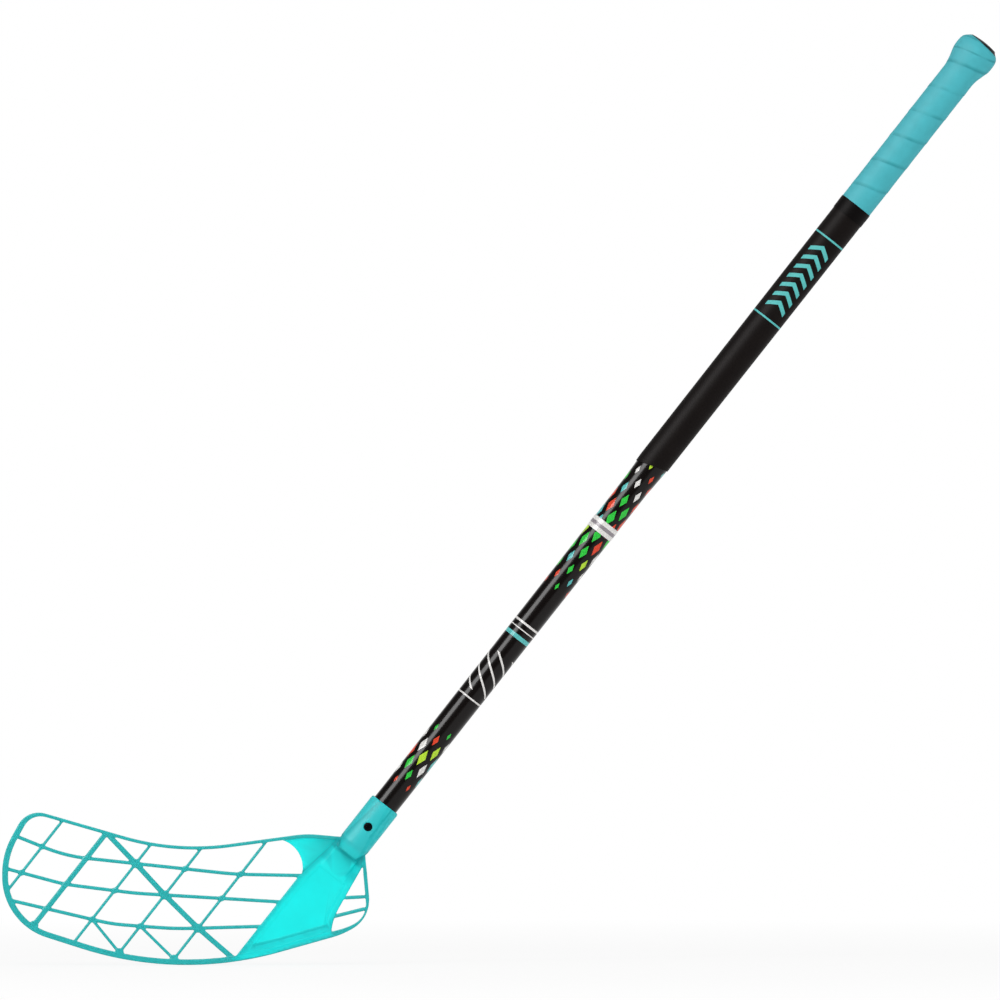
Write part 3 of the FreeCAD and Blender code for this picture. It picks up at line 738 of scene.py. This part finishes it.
class STICK_OT_shaft(bpy.types.Operator):
    """Finish the shaft tube, its end plug and the label band"""

    bl_idname = "stick.shaft"
    bl_label = "Shaft"

    def execute(self, context):
        sizes = context.scene.stick_sizes
        colours = context.scene.stick_colours
        paint_node("shaft_tube", lacquered_shaft(colours))
        nylon = plain_finish(
            "nylon_plug", colours.nylon, roughness=0.5, grain_size=0.0008, grain_depth=0.00003)
        paint_node("shaft_end_plug", nylon)
        piece = film_ring("printed_band", "label_band", sizes)
        hand_over(piece, "stick", "label_band", label_vinyl(colours))
        return {"FINISHED"}


def film_ring(name, node, sizes, overlap=0.0):
    """Ring with rounded edges in the form of a turned CAD node."""
    bands = [band for band in turned_bands(node) if band[2] - band[1] > sizes.film_edge]
    loop = [(most, station) for station, least, most in bands]
    loop += [(least, station) for station, least, most in reversed(bands)]
    return ring(name, softened(loop, sizes.film_edge), sizes.turn_steps, overlap)


class STICK_OT_sleeve(bpy.types.Operator):
    """Finish the shrink sleeve and the tape at its upper end"""

    bl_idname = "stick.sleeve"
    bl_label = "Sleeve"

    def execute(self, context):
        sizes = context.scene.stick_sizes
        colours = context.scene.stick_colours
        paint_node("shrink_sleeve", shrink_film(colours))
        tape = film_ring("wound_finish", "finish_tape", sizes, sizes.film_edge)
        vinyl = plain_finish(
            "vinyl_tape", colours.vinyl, roughness=0.5, grain_size=0.0015, grain_depth=0.00004, ior=1.15)
        hand_over(tape, "stick", "finish_tape", vinyl)
        return {"FINISHED"}


def new_tree(name, inputs):
    """Geometry node tree for a piece, with named inputs of each kind, and the sockets of those inputs."""
    tree = bpy.data.node_groups.new(name, "GeometryNodeTree")
    tree.interface.new_socket("Geometry", in_out="OUTPUT", socket_type="NodeSocketGeometry")
    for kind, names in {"Geometry": ("Geometry",), **inputs, "Material": ("Material",)}.items():
        for socket in names:
            tree.interface.new_socket(socket, in_out="INPUT", socket_type="NodeSocket" + kind)
    return tree, add(tree, "NodeGroupInput").node.outputs


def end_tree(tree, shape, material):
    """End a piece's tree with plain geometry in its material."""
    real = add(tree, "GeometryNodeRealizeInstances", {"Geometry": shape})
    dressed = add(tree, "GeometryNodeSetMaterial", {"Geometry": real, "Material": material})
    add(tree, "NodeGroupOutput", {0: dressed})
    return tree


def winding_tree():
    """Geometry nodes that wind a flat tape with round edges round a path of radius and station."""
    tree, given = new_tree("Tape winding", {
        "Float": ("Pitch", "Width", "Thickness", "Lift", "Held End", "Slant", "Start", "Lean"),
        "Int": ("Turn Steps", "Section Points")})
    lap_widths = 2.6
    slant_turn = -0.2
    path = add(tree, "GeometryNodeCurveLength", {0: given["Geometry"]})
    rises = add(tree, MATH, {0: path, 1: given["Pitch"]}, operation="DIVIDE")
    whole = add(tree, MATH, {0: rises}, operation="CEIL")
    turns = add(tree, MATH, {0: whole, 1: 1.0}, operation="ADD")
    steps = add(tree, MATH, {0: turns, 1: given["Turn Steps"]}, operation="MULTIPLY")
    grid = add(tree, "GeometryNodeMeshGrid", {
        "Size X": turns, "Size Y": 1.0, "Vertices X": steps, "Vertices Y": given["Section Points"]})
    spot = add(tree, SPLIT, {0: add(tree, "GeometryNodeInputPosition")}).node.outputs
    half = add(tree, MATH, {0: turns, 1: 0.5, 2: -1.0}, operation="MULTIPLY_ADD")
    wound = add(tree, MATH, {0: spot[0], 1: half}, operation="ADD")
    around = add(tree, MATH, {0: spot[1], 1: 0.5}, operation="ADD")

    # Section of the tape as a loop: over the top from the lower edge to the upper, back underneath
    section = (
        (0.0, 0.0, 0.5), (0.03, 0.006, 0.85), (0.06, 0.02, 1.0), (0.44, 0.98, 1.0),
        (0.47, 0.994, 0.85), (0.5, 1.0, 0.5), (0.53, 0.994, 0.15), (0.56, 0.98, 0.0),
        (0.94, 0.02, 0.0), (0.97, 0.006, 0.15), (1.0, 0.0, 0.5),
    )
    curves = []
    for column in (1, 2):
        shape = add(tree, "ShaderNodeFloatCurve", {"Value": around})
        knots = shape.node.mapping.curves[0].points
        while len(knots) < len(section):
            knots.new(0.5, 0.5)
        for knot, row in zip(knots, section):
            knot.location = (row[0], row[column])
            knot.handle_type = "VECTOR"
        shape.node.mapping.update()
        curves.append(shape)
    across, rise = curves

    overlap = add(tree, MATH, {0: given["Width"], 1: given["Pitch"]}, operation="SUBTRACT")
    reach = add(tree, MATH, {0: across, 1: given["Width"]}, operation="MULTIPLY")
    settled = add(tree, MATH, {0: overlap, 1: lap_widths}, operation="MULTIPLY")
    along = add(tree, MATH, {0: wound, 1: given["Pitch"], 2: reach}, operation="MULTIPLY_ADD")
    angle = add(tree, MATH, {0: wound, 1: math.tau, 2: given["Start"]}, operation="MULTIPLY_ADD")
    turn = [add(tree, MATH, {0: angle}, operation=kind) for kind in ("COSINE", "SINE")]
    short = add(tree, MATH, {0: path, 1: given["Slant"]}, operation="SUBTRACT")
    aside = add(tree, MATH, {0: angle, 1: slant_turn}, operation="ADD")
    bare = add(tree, MATH, {0: aside}, operation="COSINE")
    end = add(tree, MAP_RANGE, {0: bare, 1: -1.0, 2: 1.0, 3: path, 4: short})
    held = add(tree, "ShaderNodeClamp", {0: along, 1: 0.0, 2: end})
    free = add(tree, MAP_RANGE, {
        0: held, 1: given["Held End"], 2: given["Pitch"], 3: 0.0, 4: given["Lift"]},
        interpolation_type="SMOOTHSTEP")
    lap = add(tree, MAP_RANGE, {0: reach, 1: overlap, 2: settled, 3: free, 4: 0.0},
              interpolation_type="SMOOTHSTEP")
    height = add(tree, MATH, {0: rise, 1: given["Thickness"], 2: lap}, operation="MULTIPLY_ADD")
    sample = add(tree, "GeometryNodeSampleCurve", {"Curves": given["Geometry"], "Length": held},
                 mode="LENGTH").node.outputs
    base = add(tree, SPLIT, {0: sample["Position"]}).node.outputs
    run = add(tree, SPLIT, {0: sample["Tangent"]}).node.outputs
    radius = add(tree, MATH, {0: run[2], 1: height, 2: base[0]}, operation="MULTIPLY_ADD")
    drop = add(tree, MATH, {0: run[0], 1: height}, operation="MULTIPLY")
    station = add(tree, MATH, {0: base[2], 1: drop}, operation="SUBTRACT")
    sides = [add(tree, MATH, {0: share, 1: radius}, operation="MULTIPLY") for share in turn]
    place = add(tree, "ShaderNodeCombineXYZ", {0: sides[0], 1: sides[1], 2: station})
    turned = add(tree, "ShaderNodeVectorRotate", {"Vector": place, "Angle": given["Lean"]},
                 rotation_type="Y_AXIS")
    marked = add(tree, "GeometryNodeStoreNamedAttribute", {
        "Geometry": grid, "Name": "across", "Value": across}, data_type="FLOAT", domain="POINT")
    shaped = add(tree, "GeometryNodeSetPosition", {"Geometry": marked, "Position": turned})
    joined = add(tree, "GeometryNodeMergeByDistance", {"Geometry": shaped, "Distance": MERGE})
    return end_tree(tree, joined, given["Material"])


def with_nodes(piece, tree, values):
    """Put a node tree on a piece, set its named inputs and settle the result."""
    modifier = piece.modifiers.new(tree.name, "NODES")
    modifier.node_group = tree
    for item in tree.interface.items_tree:
        if item.in_out == "INPUT" and item.name in values:
            modifier[item.identifier] = values[item.name]
    return settle(piece)


class STICK_OT_grip(bpy.types.Operator):
    """Wind the grip tape over the handle and the knob"""

    bl_idname = "stick.grip"
    bl_label = "Grip"

    def execute(self, context):
        sizes = context.scene.stick_sizes
        colours = context.scene.stick_colours
        held_end = 0.0055
        section_points = 34
        path = self.handle_path()
        line = bpy.data.curves.new("handle_path", "CURVE")
        line.dimensions = "3D"
        spline = line.splines.new("POLY")
        spline.points.add(len(path) - 1)
        for knot, (radius, station) in zip(spline.points, path):
            knot.co = (radius, 0.0, station, 1.0)
        piece = with_nodes(lay_out("wound_grip", line), winding_tree(), {
            "Pitch": sizes.tape_pitch, "Width": sizes.tape_width, "Thickness": sizes.tape_thickness,
            "Lift": sizes.tape_lift, "Held End": held_end, "Slant": sizes.tape_slant,
            "Start": sizes.tape_start, "Lean": LEAN, "Turn Steps": sizes.turn_steps,
            "Section Points": section_points, "Material": grip_foam(colours)})
        tidy(piece.data)
        hand_over(piece, "stick", "grip_tape")
        return {"FINISHED"}

    def handle_path(self):
        """Radius and station up the handle and over the knob, evenly spaced and eased."""
        spacing = 0.001
        easing_passes = 12
        just_past = STATION_STEP / 10
        low, foot, _ = turned_bands("grip_tape")[0]
        top, _, wide = turned_bands("shaft_tube")[-1]
        under_face = Vector(MOUNTS["butt_face"]["pos_m"]).dot(AXIS) - 3 * STATION_STEP
        rim = max(radius for station, radius in shaft_places("butt_cap") if station > under_face)
        path = [Vector((foot, low)), Vector((wide, top))]
        path += [Vector((most, station)) for station, _, most in turned_bands("butt_cap")
                 if station > top + STATION_STEP and most >= rim + just_past]
        spaced = []
        for start, end in zip(path, path[1:]):
            count = max(1, round((end - start).length / spacing))
            spaced += [start.lerp(end, step / count) for step in range(count)]
        spaced.append(path[-1])
        for _ in range(easing_passes):
            spaced[1:-1] = [(a + b * 2 + c) / 4 for a, b, c in zip(spaced, spaced[1:], spaced[2:])]
        return spaced


class STICK_OT_butt(bpy.types.Operator):
    """Finish the butt cap"""

    bl_idname = "stick.butt"
    bl_label = "Butt cap"

    def execute(self, context):
        colours = context.scene.stick_colours
        piece = loose_copy("butt_cap", "moulded_butt")
        self.swell(piece.data, context.scene.stick_sizes)
        piece.data.set_sharp_from_angle(angle=SHARP)
        rubber = plain_finish(
            "butt_rubber", colours.rubber, roughness=0.6, grain_size=0.0006, grain_depth=0.00005)
        hand_over(piece, "stick", "butt_cap", rubber)
        return {"FINISHED"}

    def swell(self, mesh, sizes):
        """Give the flat face of the butt a low dome of rings, and its edge a lip on one side."""
        ring_shares = (0.8, 0.6, 0.4, 0.2)
        bare_side = (-0.2, 0.8)
        lip_inner = 0.9
        lip_top = (0.0, 0.001)
        lip_low = (0.0045, 0.003)
        work = bmesh.new()
        work.from_mesh(mesh)
        face = max(vertex.co.dot(AXIS) for vertex in work.verts)
        flat = [item for item in work.faces if all(face - v.co.dot(AXIS) < MERGE for v in item.verts)]
        bmesh.ops.delete(work, geom=flat, context="FACES")
        rim = [edge for edge in work.edges if edge.is_boundary]
        radius = max((v.co - AXIS * face).length for edge in rim for v in edge.verts)
        for share in ring_shares:
            grown = bmesh.ops.extrude_edge_only(work, edges=rim)["geom"]
            rim = [item for item in grown if isinstance(item, bmesh.types.BMEdge)]
            for vertex in {v for edge in rim for v in edge.verts}:
                out = (vertex.co - AXIS * vertex.co.dot(AXIS)).normalized()
                vertex.co = AXIS * (face + sizes.butt_dome * (1 - share ** 2)) + out * radius * share
        bmesh.ops.holes_fill(work, edges=rim, sides=0)
        for vertex in work.verts:
            below = face - vertex.co.dot(AXIS)
            out = vertex.co - AXIS * vertex.co.dot(AXIS)
            bare = eased(out.normalized().dot(ACROSS), *bare_side)
            bare *= eased(out.length, radius * lip_inner, radius)
            wall = eased(below, *lip_top) * eased(below, *lip_low)
            vertex.co += out.normalized() * sizes.butt_lip * bare * wall
        bmesh.ops.recalc_face_normals(work, faces=work.faces)
        work.to_mesh(mesh)
        work.free()
        mesh.shade_smooth()


def thread_tree():
    """Geometry nodes that join a wound thread to a screw."""
    tree, given = new_tree("Screw thread", {
        "Float": ("Radius", "Rise", "Turns", "Depth"), "Vector": ("Place",)})
    spiral = add(tree, "GeometryNodeCurveSpiral", {
        "Resolution": 32, "Rotations": given["Turns"], "Start Radius": given["Radius"],
        "End Radius": given["Radius"], "Height": given["Rise"]})
    ridge = add(tree, "GeometryNodeCurvePrimitiveCircle", {"Resolution": 3, "Radius": given["Depth"]})
    thread = add(tree, "GeometryNodeCurveToMesh", {
        "Curve": spiral, "Profile Curve": ridge, "Fill Caps": True})
    laid = add(tree, "GeometryNodeTransform", {
        "Geometry": thread, "Translation": given["Place"], "Rotation": (-math.pi / 2, 0.0, 0.0)})
    both = add(tree, "GeometryNodeJoinGeometry")
    for part in (given["Geometry"], laid):
        tree.links.new(part, both.node.inputs[0])
    return end_tree(tree, both, given["Material"])


class STICK_OT_screw(bpy.types.Operator):
    """Give the blade screw its thread and a blackened finish"""

    bl_idname = "stick.screw"
    bl_label = "Blade screw"

    def execute(self, context):
        sizes = context.scene.stick_sizes
        colours = context.scene.stick_colours
        threaded_share = 0.62
        point_length = 0.0022
        low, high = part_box("blade_screw")
        middle = (low + high) / 2
        inner = [v.co - middle for v in frame["nodes"]["blade_screw"].data.vertices if v.co.y > middle.y]
        shank = max(math.hypot(place.x, place.z) for place in inner)
        rise = (high.y - low.y) * threaded_share
        steel = plain_finish(
            "blackened_steel", colours.steel, roughness=0.35, grain_size=0.0004, grain_depth=0.00002,
            metallic=1.0)
        screw = with_nodes(loose_copy("blade_screw", "threaded_screw"), thread_tree(), {
            "Radius": shank, "Rise": rise, "Turns": rise / sizes.thread_pitch, "Depth": sizes.thread_depth,
            "Place": (middle.x, high.y - rise - point_length, middle.z), "Material": steel})
        screw.data.shade_smooth()
        screw.data.set_sharp_from_angle(angle=SHARP)
        hand_over(screw, "screw", "blade_screw")
        return {"FINISHED"}


class STICK_OT_stage(bpy.types.Operator):
    """Set the floor, the soft light, the white surroundings and the camera"""

    bl_idname = "stick.stage"
    bl_label = "Stage"

    def execute(self, context):
        scene = context.scene
        sizes = scene.stick_sizes
        scene.view_settings.view_transform = "Standard"
        low, high = CAD_BOX
        middle = (low + high) / 2
        self.floor(low, middle, studio_paper(scene.stick_colours))
        self.surroundings(scene)
        front = Vector((0.0, -1.0, 0.0))
        up = Vector((0.0, 0.0, 1.0))
        beside_right = 0.8 * ACROSS + 0.6 * front + 0.6 * up

        # Name, direction from the stick, distance, width and height, power and what doesn't see it
        lamps = (
            ("fill_light", -0.733 * ACROSS + 0.68 * front, 1.6, (1.4, 0.34), 6.0, "visible_glossy"),
            ("side_light", beside_right, 2.0, (1.4, 1.0), 8.0, "visible_glossy"),
            ("top_light", 0.6 * front + up, 2.4, (2.0, 2.0), 16.0, "visible_camera"),
            ("gloss_card", -0.743 * ACROSS + 0.669 * front, 1.6, (1.4, 0.9), 44.0, "visible_diffuse"),
        )
        for name, direction, distance, extent, power, unseen in lamps:
            self.lamp(name, middle, middle + direction.normalized() * distance, extent, power, unseen)
        self.camera(scene, sizes)
        return {"FINISHED"}

    def floor(self, low, middle, material):
        """Wide round floor under the stick, whose edge is near in front."""
        mesh = bpy.data.meshes.new("studio_floor")
        work = bmesh.new()
        radius = 30.0
        edge_steps = 192
        front_edge = 1.0
        bmesh.ops.create_circle(
            work, cap_ends=True, segments=edge_steps, radius=radius,
            matrix=Matrix.Translation((0.0, radius - front_edge, 0.0)))
        work.to_mesh(mesh)
        work.free()
        mesh.materials.append(material)
        floor = lay_out("studio_floor", mesh)
        floor.location = (middle.x, middle.y, low.z)

    def surroundings(self, scene):
        """White all round: full to the camera, softer as light, and in gloss dark except behind."""
        soft = 0.5
        gloss_least = 0.12
        gloss_start = 0.5
        gloss_full = 0.9
        world = bpy.data.worlds.new("white_studio")
        world.use_nodes = True
        tree = world.node_tree
        tree.nodes.clear()
        rays = add(tree, "ShaderNodeLightPath").node.outputs
        seen = add(tree, MATH, {0: rays["Is Camera Ray"], 1: rays["Is Transmission Ray"]},
                   operation="MAXIMUM")
        direction = add(tree, "ShaderNodeTexCoord", out="Generated")
        back = add(tree, SPLIT, {0: direction}, out="Y")
        gloss = add(tree, MAP_RANGE, {0: back, 1: gloss_start, 2: gloss_full, 3: gloss_least, 4: 1.0})
        white = add(tree, MAP_RANGE, {0: seen, 3: soft, 4: 1.0})
        strength = add(tree, MAP_RANGE, {0: rays["Is Glossy Ray"], 3: white, 4: gloss})
        sky = add(tree, "ShaderNodeBackground", {"Color": (1.0, 1.0, 1.0, 1.0), "Strength": strength})
        add(tree, "ShaderNodeOutputWorld", {"Surface": sky})
        scene.world = world

    def lamp(self, name, target, place, extent, power, unseen):
        """Area lamp that faces a target, hidden from the camera and from one kind of ray."""
        light = bpy.data.lights.new(name, "AREA")
        light.shape = "RECTANGLE"
        light.size, light.size_y = extent
        light.energy = power
        lamp = bpy.data.objects.new(name, light)
        back = (place - target).normalized()
        along = (AXIS - back * AXIS.dot(back)).normalized()
        turn = Matrix((along, back.cross(along), back)).transposed().to_4x4()
        lamp.matrix_world = Matrix.Translation(place) @ turn
        lamp.visible_camera = False
        setattr(lamp, unseen, False)
        bpy.context.scene.collection.objects.link(lamp)

    def camera(self, scene, sizes):
        """Camera level with the middle of the photo, looking straight at the blade's side."""
        photo_middle_x = -0.2988
        photo_middle_z = -0.2637
        lens = bpy.data.cameras.new("photo_camera")
        lens.lens = lens.sensor_width * sizes.camera_distance / sizes.photo_width
        lens.clip_end = 100.0
        camera = bpy.data.objects.new("photo_camera", lens)
        camera.location = (photo_middle_x, -sizes.camera_distance, photo_middle_z)
        camera.rotation_euler = (math.pi / 2, 0.0, 0.0)
        scene.collection.objects.link(camera)
        scene.camera = camera


class STICK_PT_sidebar(bpy.types.Panel):
    """Sizes, colours and steps of the floorball stick"""

    bl_label = "Floorball stick"
    bl_idname = "STICK_PT_sidebar"
    bl_space_type = "VIEW_3D"
    bl_region_type = "UI"
    bl_category = "Stick"

    def draw(self, context):
        for group in (context.scene.stick_sizes, context.scene.stick_colours):
            box = self.layout.box()
            for name in group.__annotations__:
                box.prop(group, name)
        for step in STEPS:
            self.layout.operator(step.bl_idname)


STEPS = (
    STICK_OT_blade, STICK_OT_shaft, STICK_OT_sleeve, STICK_OT_grip, STICK_OT_butt, STICK_OT_screw,
    STICK_OT_stage,
)
CLASSES = (StickSizes, StickColours, *STEPS, STICK_PT_sidebar)


def register():
    for item in CLASSES:
        bpy.utils.register_class(item)
    bpy.types.Scene.stick_sizes = PointerProperty(type=StickSizes)
    bpy.types.Scene.stick_colours = PointerProperty(type=StickColours)


def unregister():
    del bpy.types.Scene.stick_colours
    del bpy.types.Scene.stick_sizes
    for item in reversed(CLASSES):
        bpy.utils.unregister_class(item)


def main():
    register()
    bpy.ops.stick.blade()
    bpy.ops.stick.shaft()
    bpy.ops.stick.sleeve()
    bpy.ops.stick.grip()
    bpy.ops.stick.butt()
    bpy.ops.stick.screw()
    bpy.ops.stick.stage()


if __name__ == "__main__":
    main()
